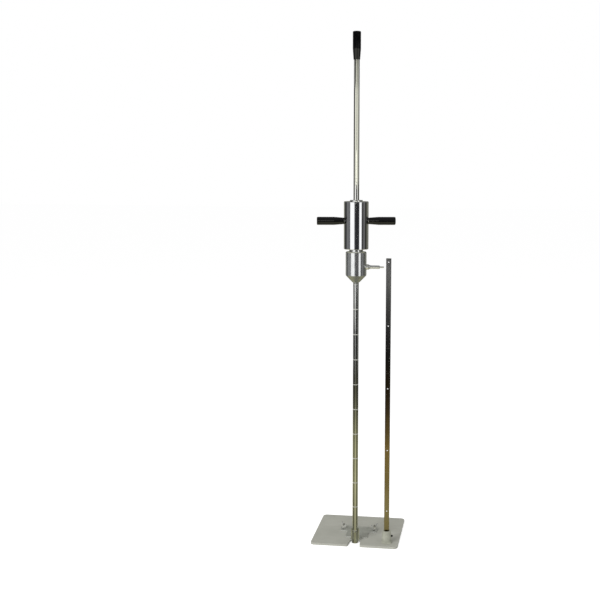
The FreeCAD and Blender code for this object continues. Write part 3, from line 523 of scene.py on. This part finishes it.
# Studio: a white floor and backdrop, and two soft boxes. Floor and world are at full white only
# where the camera, gloss or glass sees them.
CAMERA_TURN = math.radians(7.9)
CAMERA_TILT = math.radians(7.84)
CAMERA_ROLL = math.radians(-0.22)
CAMERA_AWAY = 3.8655
CAMERA_HIGH = 1.520
CAMERA_LENS = 60
CAMERA_SENSOR = 36
CAMERA_SHIFT = -0.0941
FLOOR_SIZE = 30.0
FLOOR_DROP = 0.0003
FLOOR_CLOTH = (0.86, 0.86, 0.86)
FLOOR_GLOW = 0.46
WORLD_LIGHT = 0.62
LAMP_AWAY = 3.2
LAMP_HIGH = 2.2
LAMP_TALL = 3.0


def glow_material(name):
    """A material with nothing but its output, for stage pieces."""
    material = bpy.data.materials.new(name)
    material.use_nodes = True
    nodes = material.node_tree.nodes
    nodes.remove(nodes["Principled BSDF"])
    return material, nodes["Material Output"]


def stage_piece(name, build, material):
    mesh = bpy.data.meshes.new(name)
    build.to_mesh(mesh)
    build.free()
    mesh.materials.append(material)
    piece = bpy.data.objects.new(name, mesh)
    bpy.context.collection.objects.link(piece)
    return piece


floor_white, output = glow_material("floor_white")
cloth = add(floor_white, "ShaderNodeBsdfDiffuse")
wire(floor_white, FLOOR_CLOTH, cloth.inputs["Color"])
glow = add(floor_white, "ShaderNodeEmission")
path = add(floor_white, "ShaderNodeLightPath")
seen = figure(floor_white, "MAXIMUM", path.outputs["Is Camera Ray"],
              figure(floor_white, "MAXIMUM", path.outputs["Is Glossy Ray"], path.outputs["Is Transmission Ray"]))
wire(floor_white, figure(floor_white, "MULTIPLY", seen, FLOOR_GLOW), glow.inputs["Strength"])
both = add(floor_white, "ShaderNodeAddShader")
wire(floor_white, cloth.outputs[0], both.inputs[0])
wire(floor_white, glow.outputs[0], both.inputs[1])
wire(floor_white, both.outputs[0], output.inputs["Surface"])
build = bmesh.new()
bmesh.ops.create_grid(build, x_segments=1, y_segments=1, size=FLOOR_SIZE)
floor = stage_piece("floor", build, floor_white)
floor.location.z = -FLOOR_DROP

world = bpy.data.worlds.new("studio")
bpy.context.scene.world = world
world.use_nodes = True
backdrop = world.node_tree.nodes["Background"]
backdrop.inputs["Color"].default_value = (1, 1, 1, 1)
path = add(world, "ShaderNodeLightPath")
seen = figure(world, "MAXIMUM", path.outputs["Is Camera Ray"],
              figure(world, "MAXIMUM", path.outputs["Is Glossy Ray"], path.outputs["Is Transmission Ray"]))
wire(world, range_of(world, seen, 0.0, 1.0, WORLD_LIGHT, 1.0), backdrop.inputs["Strength"])


def soft_box(name, degrees, width, power):
    """A tall area lamp, turned to the rod line, at an angle from the camera."""
    lamp = bpy.data.lights.new(name, "AREA")
    lamp.shape = "RECTANGLE"
    lamp.size, lamp.size_y, lamp.energy = width, LAMP_TALL, power
    box = bpy.data.objects.new(name, lamp)
    bpy.context.collection.objects.link(box)
    angle = CAMERA_TURN + math.radians(degrees)
    box.location = rod_axis + Vector((math.sin(angle) * LAMP_AWAY, -math.cos(angle) * LAMP_AWAY, LAMP_HIGH))
    aim = rod_axis + Vector((0, 0, 0.9)) - box.location
    box.rotation_euler = aim.to_track_quat("-Z", "Y").to_euler()
    box.visible_glossy = False


soft_box("left_soft_box", -38, 1.6, 95)
soft_box("right_soft_box", 40, 1.0, 12)

# Studio flats that only polished metal and gloss can see: bands of white, grey and black round
# the rod line, one band for each height, an olive ground cloth with dark folds, and a dark hood
# under a grey crown and top.
# Azimuths are in degrees, seen from the rod line: 0 is the camera and positive is to its right.
FLATS_AWAY = 3.4
IVORY = (1.0, 1.0, 0.88)
COOL = (0.95, 0.98, 1.08)
OLIVE = (1.0, 1.0, 0.82)
PLAIN = (1.0, 1.0, 1.0)
BAND_TONES = {
    "low": (0.0, 0.36, [
        (-180, 0.26, OLIVE), (-125, 0.30, PLAIN), (-95, 0.16, PLAIN), (-84, 0.02, PLAIN), (-42, 0.02, PLAIN),
        (-35, 0.20, PLAIN), (-28, 0.42, PLAIN), (-12, 0.38, PLAIN), (-5, 0.12, PLAIN), (3, 0.02, PLAIN),
        (42, 0.03, PLAIN), (58, 0.08, PLAIN), (95, 0.18, PLAIN), (120, 0.24, OLIVE), (180, 0.26, OLIVE)]),
    "knee": (0.36, 0.60, [
        (-180, 0.28, OLIVE), (-125, 0.42, PLAIN), (-95, 0.36, PLAIN), (-75, 0.30, PLAIN), (-50, 0.30, PLAIN),
        (-36, 0.8, PLAIN), (-28, 1.4, PLAIN), (-12, 1.4, PLAIN), (-4, 0.12, PLAIN), (4, 0.02, PLAIN),
        (40, 0.025, PLAIN), (58, 0.08, PLAIN), (95, 0.15, PLAIN), (120, 0.20, OLIVE), (180, 0.26, OLIVE)]),
    "middle": (0.60, 1.36, [
        (-180, 0.28, OLIVE), (-136, 0.27, OLIVE), (-127, 0.10, PLAIN), (-119, 0.02, PLAIN), (-104, 0.02, PLAIN),
        (-98, 0.18, PLAIN), (-78, 0.19, PLAIN), (-67, 0.135, COOL), (-59, 0.17, PLAIN), (-55, 1.2, PLAIN),
        (-21, 1.2, PLAIN), (-14, 0.12, COOL), (-7, 0.03, COOL), (19, 0.026, COOL), (27, 0.07, COOL),
        (31, 1.2, PLAIN), (48, 1.2, PLAIN), (53, 0.06, PLAIN), (66, 0.055, PLAIN), (75, 0.17, PLAIN),
        (84, 0.17, PLAIN), (90, 0.045, OLIVE), (109, 0.035, OLIVE), (117, 0.18, OLIVE), (180, 0.25, OLIVE)]),
    "brow": (1.36, 1.60, [
        (-180, 0.24, OLIVE), (-130, 0.12, PLAIN), (-112, 0.05, PLAIN), (-80, 0.045, PLAIN), (-70, 0.35, PLAIN),
        (-62, 0.90, IVORY), (-20, 0.88, IVORY), (-7, 0.85, IVORY), (-6, 3.4, IVORY), (3, 3.4, IVORY),
        (4, 0.40, IVORY), (22, 0.24, IVORY), (27, 0.95, IVORY), (60, 0.90, IVORY), (72, 0.25, PLAIN),
        (120, 0.20, OLIVE), (180, 0.24, OLIVE)]),
    "high": (1.60, 2.05, [
        (-180, 0.24, OLIVE), (-130, 0.12, PLAIN), (-112, 0.05, PLAIN), (-80, 0.045, PLAIN), (-70, 0.35, PLAIN),
        (-62, 0.90, IVORY), (-20, 0.88, IVORY), (3, 0.80, IVORY), (7, 0.22, IVORY), (22, 0.24, IVORY),
        (27, 0.95, IVORY), (60, 0.90, IVORY), (72, 0.25, PLAIN), (120, 0.20, OLIVE), (180, 0.24, OLIVE)]),
    "top": (2.05, 2.25, [
        (-180, 0.12, OLIVE), (-140, 0.25, OLIVE), (-122, 0.50, PLAIN), (-96, 0.25, PLAIN), (-82, 0.02, PLAIN),
        (-45, 0.02, PLAIN), (-35, 0.65, IVORY), (-12, 0.75, IVORY), (2, 0.55, IVORY), (8, 0.15, IVORY),
        (26, 0.18, IVORY), (34, 0.62, IVORY), (66, 0.62, IVORY), (80, 0.12, PLAIN), (125, 0.13, PLAIN),
        (180, 0.12, OLIVE)]),
    "hood": (2.25, 2.95, [
        (-180, 0.03, PLAIN), (-110, 0.06, PLAIN), (-80, 0.02, PLAIN), (80, 0.02, PLAIN), (110, 0.06, PLAIN),
        (180, 0.03, PLAIN)]),
    "crown": (2.95, 4.0, [
        (-180, 0.26, PLAIN), (-110, 0.22, PLAIN), (-60, 0.18, PLAIN), (60, 0.18, PLAIN), (110, 0.22, PLAIN),
        (180, 0.26, PLAIN)]),
}


def only_in_metal(piece):
    """Stage pieces that are seen in reflections and nowhere else, and light nothing."""
    for flag in ("visible_camera", "visible_diffuse", "visible_transmission", "visible_shadow"):
        setattr(piece, flag, False)


def round_the_rod(material, stops):
    """A colour ramp read round the rod line, from (degrees, colour) stops."""
    across, back, up = place_on(material)
    azimuth = figure(material, "ARCTAN2", across, figure(material, "MULTIPLY", back, -1.0))
    around = range_of(material, azimuth, -math.pi, math.pi, 0.0, 1.0)
    return ramp_of(material, around, [((degrees + 180) / 360, colour) for degrees, colour in stops])


def glow_from(material, output, colour):
    glow = add(material, "ShaderNodeEmission")
    wire(material, colour, glow.inputs["Color"])
    wire(material, glow.outputs[0], output.inputs["Surface"])


for band, (foot, head, tones) in BAND_TONES.items():
    flats, output = glow_material(f"{band}_flats")
    stops = [(degrees, tuple(tone * part for part in tint)) for degrees, tone, tint in tones]
    glow_from(flats, output, round_the_rod(flats, stops))
    build = bmesh.new()
    bmesh.ops.create_cone(build, cap_ends=False, segments=96, radius1=FLATS_AWAY, radius2=FLATS_AWAY,
                          depth=head - foot)
    ring = stage_piece(f"{band}_flats", build, flats)
    ring.location = rod_axis + Vector((0, 0, (foot + head) / 2))
    ring.rotation_euler.z = CAMERA_TURN
    only_in_metal(ring)

GROUND_TONES = [(0.0, (0.34, 0.335, 0.25)), (0.08, (0.40, 0.39, 0.29)), (0.22, (0.56, 0.545, 0.39)),
                (0.45, (0.43, 0.42, 0.28)), (0.70, (0.12, 0.117, 0.085)), (1.0, (0.06, 0.06, 0.05))]
CLOTH_DROP = 0.0001
HOOD_HIGH = 4.0
HOOD_GREY = (0.20, 0.20, 0.20)
GROUND_FOLDS = [(-180, 1.0), (-130, 1.1), (-98, 1.25), (-82, 0.6), (-70, 0.10), (-48, 0.12), (-34, 1.1), (0, 1.5),
                (28, 1.3), (44, 0.35), (66, 0.25), (85, 0.6), (110, 0.85), (180, 1.0)]
ground_cloth, output = glow_material("ground_cloth")
across, back, up = place_on(ground_cloth)
from_rod = figure(ground_cloth, "DIVIDE", reach_of(ground_cloth, across, back), FLATS_AWAY)
cloth_tone = ramp_of(ground_cloth, from_rod, GROUND_TONES)
folds = round_the_rod(ground_cloth, [(degrees, (tone, tone, tone)) for degrees, tone in GROUND_FOLDS])
folded = add(ground_cloth, "ShaderNodeMix", data_type="RGBA", blend_type="MULTIPLY")
wire(ground_cloth, 1.0, folded.inputs[0])
wire(ground_cloth, cloth_tone, folded.inputs[6])
wire(ground_cloth, folds, folded.inputs[7])
glow_from(ground_cloth, output, folded.outputs[2])
grey_top, output = glow_material("hood_top")
glow_from(grey_top, output, HOOD_GREY)
for name, height, material in (("ground_cloth", -CLOTH_DROP, ground_cloth), ("hood_top", HOOD_HIGH, grey_top)):
    build = bmesh.new()
    bmesh.ops.create_circle(build, cap_ends=True, segments=96, radius=FLATS_AWAY)
    disc = stage_piece(name, build, material)
    disc.location = rod_axis + Vector((0, 0, height))
    disc.rotation_euler.z = CAMERA_TURN
    only_in_metal(disc)

# Camera, at the photograph's height and angle.
camera_data = bpy.data.cameras.new("camera")
camera_data.lens = CAMERA_LENS
camera_data.sensor_width = CAMERA_SENSOR
camera_data.shift_x = CAMERA_SHIFT
camera = bpy.data.objects.new("camera", camera_data)
bpy.context.collection.objects.link(camera)
camera.location = rod_axis + Vector((math.sin(CAMERA_TURN) * CAMERA_AWAY, -math.cos(CAMERA_TURN) * CAMERA_AWAY,
                                     CAMERA_HIGH))
camera.rotation_euler = (math.radians(90) - CAMERA_TILT, CAMERA_ROLL, CAMERA_TURN)
bpy.context.scene.camera = camera
bpy.context.scene.view_settings.view_transform = "Standard"
